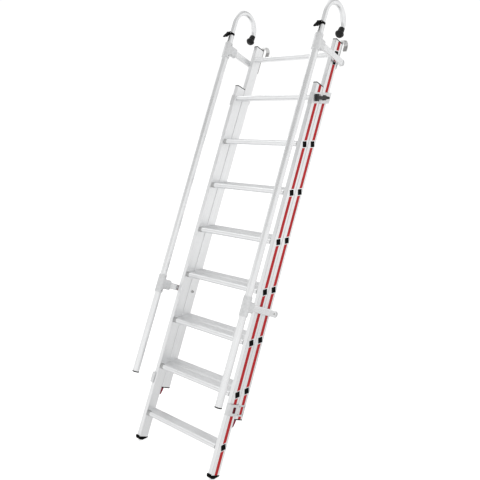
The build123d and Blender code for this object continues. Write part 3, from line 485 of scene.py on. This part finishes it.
# two rings round the skirt of each hand grip's knob
OVER = math.radians(14.0)
for side, name, drawn in ((-1, "left", 11.5), (1, "right", 0.0)):
    rings = Shape()
    down = -math.sin(OVER) * N_DIR - math.cos(OVER) * S_DIR
    across = math.cos(OVER) * N_DIR - math.sin(OVER) * S_DIR
    end = at(side * 326.0, -115.0 + 85.0 + 85.0 * math.cos(OVER), 2440.0 - 85.0 * math.sin(OVER) + drawn)
    for d, r in ((4.2, 16.8), (8.4, 16.8)):
        loops = []
        for k in range(48):
            a = 2 * math.pi * k / 48
            out = across * math.cos(a) + Vector((1, 0, 0)) * math.sin(a)
            ring = [end + out * ((r + h) / 1000) + down * ((d + w) / 1000)
                    for w, h in ((-0.9, -0.25), (-0.65, 0.45), (0.0, 0.75), (0.65, 0.45), (0.9, -0.25))]
            loops.append(rings.ring(ring))
        rings.tube(loops + [loops[0]])
    rings.make(f"knob_rings_{name}", KNOB, f"cane_{name}")

    # rubber cuff that runs from the knob a little way up the bend
    cuff = Shape()
    middle = (-115.0 + 85.0, 2440.0 + drawn)
    outer, inner = [], []
    for back, r in ((0.0, 16.6), (3.0, 16.5), (6.0, 16.4), (9.0, 16.3), (11.2, 16.2), (12.2, 15.9), (12.6, 15.4)):
        a = -OVER + back / 85.0
        out = math.cos(a) * N_DIR + math.sin(a) * S_DIR
        centre = at(side * 326.0, middle[0] + 85.0 * math.cos(a), middle[1] + 85.0 * math.sin(a))
        spokes = [out * math.cos(2 * math.pi * k / 48) + Vector((1, 0, 0)) * math.sin(2 * math.pi * k / 48) for k in range(48)]
        outer.append(cuff.ring([centre + v * (r / 1000) for v in spokes]))
        inner.append(cuff.ring([centre + v * 0.01506 for v in spokes]))
    cuff.tube(outer + inner[::-1] + [outer[0]])
    cuff.make(f"knob_cuff_{name}", KNOB, f"cane_{name}")

# thumb ridges across the clamp levers
TIP = math.radians(57.9)
for side, name in ((-1, "left"), (1, "right")):
    grips = Shape()
    out = -math.sin(TIP) * N_DIR + math.cos(TIP) * S_DIR
    for a in (17.0, 20.5, 24.0, 27.5, 31.0):
        b = 4.5 + 0.0341 * (a - 9.5) if a <= 30 else 5.2 - 0.08 * (a - 30.0)
        n = -140.0 - a * math.cos(TIP) - b * math.sin(TIP)
        s = 2367.0 - a * math.sin(TIP) + b * math.cos(TIP)
        grips.ridge(at(side * 326.0 - 8.0, n, s), at(side * 326.0 + 8.0, n, s), out, 1.8, 0.9)
    grips.make(f"clamp_lever_ridges_{name}", BLACK, f"clamp_lever_{name}")

# finger ridges on the flat tip of the lock lever
fingers = Shape()
LOCK_Z = 2031.0 * ST - 35.0 * CT - 6.0
for y, h in ((879.0, 5.4), (884.0, 5.0), (889.0, 4.6), (894.0, 4.2)):
    fingers.ridge(level(317.0, y, LOCK_Z - h), level(317.0, y, LOCK_Z + h), Vector((1, 0, 0)), 1.8, 0.9)
fingers.make("lock_lever_ridges", DARK, "lock_lever")

# ------------------------------------------------------------------ stage
floor_mesh = bpy.data.meshes.new("floor")
R, RINGS = 60.0, 96
verts = [(R * math.cos(2 * math.pi * k / RINGS), R * math.sin(2 * math.pi * k / RINGS), -0.0005) for k in range(RINGS)]
floor_mesh.from_pydata(verts, [], [list(range(RINGS))])
floor = bpy.data.objects.new("floor", floor_mesh)
scene.collection.objects.link(floor)
# pale floor: seen directly it takes a faint contact shadow; in the metal it shows as a glowing floor with a painted
# shadow pool to the right behind the ladder and painted brighter light towards the front right
fm = Mat("floor_pale", Roughness=0.9, Specular_IOR_Level=0.0, Emission_Color=(1.0, 1.0, 1.0, 1.0), Emission_Strength=0.62)
fm.colour(fm.mix(fm.noise(0.8, 3.0, 0.5, lean=False), (0.80, 0.80, 0.80), (0.83, 0.83, 0.83)))
seen = fm.node("ShaderNodeLightPath")
place = fm.node("ShaderNodeTexCoord")
away = fm.node("ShaderNodeVectorMath", operation="DISTANCE")
away.inputs[1].default_value = (1.0, 0.9, 0.0)
fm.link(place.outputs["Object"], away.inputs[0])
glow = fm.node("ShaderNodeEmission")
# painted shadow pool: the glow seen in the metal dims around a spot to the right behind the ladder
near = fm.remap(away.outputs["Value"], 1.7, 3.2, 0.71, 1.0, smooth=True)
# painted light: the glow seen in the metal is a little brighter towards the front right
front = fm.remap(fm.dot(place.outputs["Object"], (1.0, -1.0, 0.0)), 0.3, 0.8, 0.0, 0.15)
fm.put(glow.inputs["Strength"], fm.math("MINIMUM", fm.math("ADD", near, front), 1.0))
either = fm.node("ShaderNodeMixShader")
fm.link(seen.outputs["Is Camera Ray"], either.inputs["Fac"])
fm.link(glow.outputs["Emission"], either.inputs[1])
fm.link(fm.b.outputs["BSDF"], either.inputs[2])
fm.link(either.outputs["Shader"], fm.t.nodes["Material Output"].inputs["Surface"])
floor_mesh.materials.append(fm.m)

world = bpy.data.worlds.new("studio")
scene.world = world
world.use_nodes = True
w = Nodes(world.node_tree)
bg = world.node_tree.nodes["Background"]
way = w.node("ShaderNodeTexCoord").outputs["Generated"]
height = w.dot(way, (0.0, 0.0, 1.0))
# soft surround: bright low down, dimmer half-way up, a little brighter overhead
rise = w.curve(height, [(0.0, 0.84), (0.10, 0.88), (0.22, 0.98), (0.36, 1.0), (0.44, 0.80), (0.54, 0.50), (0.66, 0.58), (0.80, 0.74),
                        (1.0, 0.84)])
# brighter towards the front right than towards the back left
turn = w.remap(w.dot(way, (-0.685, 0.728, 0.0)), -1.0, 1.0, 1.08, 0.97)
# wide overhead soft box, left of the ladder
box = w.remap(w.dot(way, (-0.60, 0.12, 0.79)), 0.80, 0.97, 0.0, 0.32, smooth=True)
# a soft grey screen stands half-way up in front on the left
across = w.remap(w.dot(way, (-0.77, 0.64, 0.0)), 0.06, 0.20, 0.15, 1.0, smooth=True)
ahead = w.remap(w.dot(way, (0.0, -1.0, 0.0)), 0.30, 0.48, 0.0, 1.0, smooth=True)
screen = w.math("MULTIPLY", w.math("MULTIPLY", across, ahead), w.remap(height, 0.34, 0.44, 0.0, 0.20, smooth=True))
around = w.math("MULTIPLY", w.math("MULTIPLY", rise, turn), w.math("SUBTRACT", 1.0, screen))
studio = w.math("ADD", around, box)
ray = w.node("ShaderNodeLightPath")
shown = w.node("ShaderNodeMix", data_type="FLOAT")
w.link(ray.outputs["Is Camera Ray"], shown.inputs[0])
w.link(studio, shown.inputs[2])
shown.inputs[3].default_value = 1.05
w.link(shown.outputs[0], bg.inputs["Strength"])
bg.inputs["Color"].default_value = (1.0, 1.0, 1.0, 1.0)


def area(name, place, target, size, power, colour=(1, 1, 1)):
    data = bpy.data.lights.new(name, "AREA")
    data.shape = "RECTANGLE"
    data.size, data.size_y = size
    data.energy = power
    data.color = colour
    ob = bpy.data.objects.new(name, data)
    scene.collection.objects.link(ob)
    ob.location = place
    ob.rotation_mode = "QUATERNION"
    ob.rotation_quaternion = (Vector(target) - Vector(place)).to_track_quat("-Z", "Y")
    return ob


area("key_overhead_left", (-3.0, 0.6, 4.6), (0, 0, 1.1), (2.6, 2.6), 16)

# ------------------------------------------------------------------ camera
cam_data = bpy.data.cameras.new("camera")
cam = bpy.data.objects.new("camera", cam_data)
scene.collection.objects.link(cam)
cam.location = (2.3626, -2.5255, 1.7855)
cam.rotation_euler = (math.radians(90 - 11.091), 0.0, math.radians(43.233))
cam_data.sensor_fit = "HORIZONTAL"
cam_data.sensor_width = 36.0
cam_data.lens = 47.29
scene.camera = cam
scene.view_settings.view_transform = "Standard"
